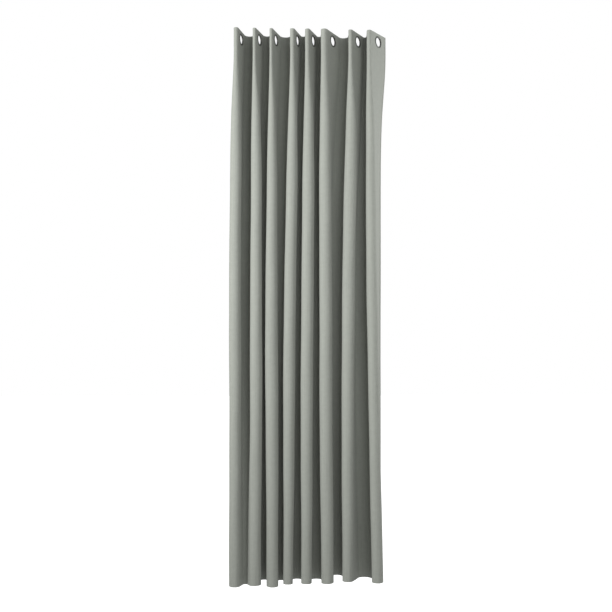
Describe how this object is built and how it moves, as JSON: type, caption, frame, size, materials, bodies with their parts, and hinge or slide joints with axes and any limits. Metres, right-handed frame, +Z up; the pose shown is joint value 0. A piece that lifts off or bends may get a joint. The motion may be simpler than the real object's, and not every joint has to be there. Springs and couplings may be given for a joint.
{
  "type": "eyelet curtain panel",
  "caption": "Floor-length fabric curtain panel with a row of round eyelets in its heading, gathered into upright folds.",
  "frame": {"origin": "on the axis of the curtain rod, at the middle of the panel's width", "axes": "+X along the rod, -Y towards the room, +Z up"},
  "size_m": [0.7088, 0.1233, 2.45],
  "materials": {
    "fabric": "matte plain weave",
    "eyelet": "satin",
    "label": "matte woven tape"
  },
  "bodies": {
    "middle_fold": {"cloth_middle_fold": "fabric"},
    "flank_01": {"cloth_flank_01": "fabric", "eyelet_front_01": "eyelet", "eyelet_back_01": "eyelet"},
    "flank_02": {"cloth_flank_02": "fabric", "eyelet_front_02": "eyelet", "eyelet_back_02": "eyelet"},
    "flank_03": {"cloth_flank_03": "fabric", "eyelet_front_03": "eyelet", "eyelet_back_03": "eyelet"},
    "flank_04": {"cloth_flank_04": "fabric", "eyelet_front_04": "eyelet", "eyelet_back_04": "eyelet"},
    "flank_05": {"cloth_flank_05": "fabric", "eyelet_front_05": "eyelet", "eyelet_back_05": "eyelet"},
    "flank_06": {"cloth_flank_06": "fabric", "eyelet_front_06": "eyelet", "eyelet_back_06": "eyelet"},
    "flank_07": {"cloth_flank_07": "fabric", "eyelet_front_07": "eyelet", "eyelet_back_07": "eyelet"},
    "flank_08": {"cloth_flank_08": "fabric", "eyelet_front_08": "eyelet", "eyelet_back_08": "eyelet"},
    "flank_09": {"cloth_flank_09": "fabric", "eyelet_front_09": "eyelet", "eyelet_back_09": "eyelet"},
    "flank_10": {"cloth_flank_10": "fabric", "eyelet_front_10": "eyelet", "eyelet_back_10": "eyelet"},
    "flank_11": {"cloth_flank_11": "fabric", "eyelet_front_11": "eyelet", "eyelet_back_11": "eyelet"},
    "flank_12": {"cloth_flank_12": "fabric", "eyelet_front_12": "eyelet", "eyelet_back_12": "eyelet"},
    "flank_13": {"cloth_flank_13": "fabric", "eyelet_front_13": "eyelet", "eyelet_back_13": "eyelet"},
    "flank_14": {"cloth_flank_14": "fabric", "eyelet_front_14": "eyelet", "eyelet_back_14": "eyelet"},
    "flank_15": {"cloth_flank_15": "fabric", "eyelet_front_15": "eyelet", "eyelet_back_15": "eyelet"},
    "flank_16": {"cloth_flank_16": "fabric", "eyelet_front_16": "eyelet", "eyelet_back_16": "eyelet", "care_label": "label"}
  },
  "joints": [
    {"name": "draw_open", "type": "hinge", "parent": "middle_fold", "child": "flank_09", "pos_m": [-0.0423, 0.0528, 0], "axis": [0, 0, 1], "range_deg": [0, 10]},
    {"name": "middle_fold_left", "type": "hinge", "parent": "middle_fold", "child": "flank_08", "pos_m": [-0.0423, 0.0528, 0], "axis": [0, 0, 1], "range_deg": [-10, 0]},
    {"name": "ridge_5", "type": "hinge", "parent": "flank_09", "child": "flank_10", "pos_m": [-0.0068, -0.0491, 0], "axis": [0, 0, 1], "range_deg": [-20, 0]},
    {"name": "valley_5", "type": "hinge", "parent": "flank_10", "child": "flank_11", "pos_m": [0.0287, 0.0511, 0], "axis": [0, 0, 1], "range_deg": [0, 20]},
    {"name": "ridge_6", "type": "hinge", "parent": "flank_11", "child": "flank_12", "pos_m": [0.0731, -0.0534, 0], "axis": [0, 0, 1], "range_deg": [-20, 0]},
    {"name": "valley_6", "type": "hinge", "parent": "flank_12", "child": "flank_13", "pos_m": [0.1351, 0.0592, 0], "axis": [0, 0, 1], "range_deg": [0, 20]},
    {"name": "ridge_7", "type": "hinge", "parent": "flank_13", "child": "flank_14", "pos_m": [0.192, -0.0515, 0], "axis": [0, 0, 1], "range_deg": [-20, 0]},
    {"name": "valley_7", "type": "hinge", "parent": "flank_14", "child": "flank_15", "pos_m": [0.2335, 0.0574, 0], "axis": [0, 0, 1], "range_deg": [0, 20]},
    {"name": "ridge_8", "type": "hinge", "parent": "flank_15", "child": "flank_16", "pos_m": [0.2798, -0.0522, 0], "axis": [0, 0, 1], "range_deg": [-20, 0]},
    {"name": "ridge_4", "type": "hinge", "parent": "flank_08", "child": "flank_07", "pos_m": [-0.0758, -0.0473, 0], "axis": [0, 0, 1], "range_deg": [0, 20]},
    {"name": "valley_3", "type": "hinge", "parent": "flank_07", "child": "flank_06", "pos_m": [-0.1246, 0.065, 0], "axis": [0, 0, 1], "range_deg": [-20, 0]},
    {"name": "ridge_3", "type": "hinge", "parent": "flank_06", "child": "flank_05", "pos_m": [-0.1706, -0.0498, 0], "axis": [0, 0, 1], "range_deg": [0, 20]},
    {"name": "valley_2", "type": "hinge", "parent": "flank_05", "child": "flank_04", "pos_m": [-0.2079, 0.0564, 0], "axis": [0, 0, 1], "range_deg": [-20, 0]},
    {"name": "ridge_2", "type": "hinge", "parent": "flank_04", "child": "flank_03", "pos_m": [-0.2454, -0.0508, 0], "axis": [0, 0, 1], "range_deg": [0, 20]},
    {"name": "valley_1", "type": "hinge", "parent": "flank_03", "child": "flank_02", "pos_m": [-0.2864, 0.0627, 0], "axis": [0, 0, 1], "range_deg": [-20, 0]},
    {"name": "ridge_1", "type": "hinge", "parent": "flank_02", "child": "flank_01", "pos_m": [-0.3284, -0.0483, 0], "axis": [0, 0, 1], "range_deg": [0, 20]}
  ],
  "couplings": [
    {"joint": "middle_fold_left", "follows": "draw_open", "ratio": -1},
    {"joint": "ridge_5", "follows": "draw_open", "ratio": -2},
    {"joint": "valley_5", "follows": "draw_open", "ratio": 2},
    {"joint": "ridge_6", "follows": "draw_open", "ratio": -2},
    {"joint": "valley_6", "follows": "draw_open", "ratio": 2},
    {"joint": "ridge_7", "follows": "draw_open", "ratio": -2},
    {"joint": "valley_7", "follows": "draw_open", "ratio": 2},
    {"joint": "ridge_8", "follows": "draw_open", "ratio": -2},
    {"joint": "ridge_4", "follows": "draw_open", "ratio": 2},
    {"joint": "valley_3", "follows": "draw_open", "ratio": -2},
    {"joint": "ridge_3", "follows": "draw_open", "ratio": 2},
    {"joint": "valley_2", "follows": "draw_open", "ratio": -2},
    {"joint": "ridge_2", "follows": "draw_open", "ratio": 2},
    {"joint": "valley_1", "follows": "draw_open", "ratio": -2},
    {"joint": "ridge_1", "follows": "draw_open", "ratio": 2}
  ]
}
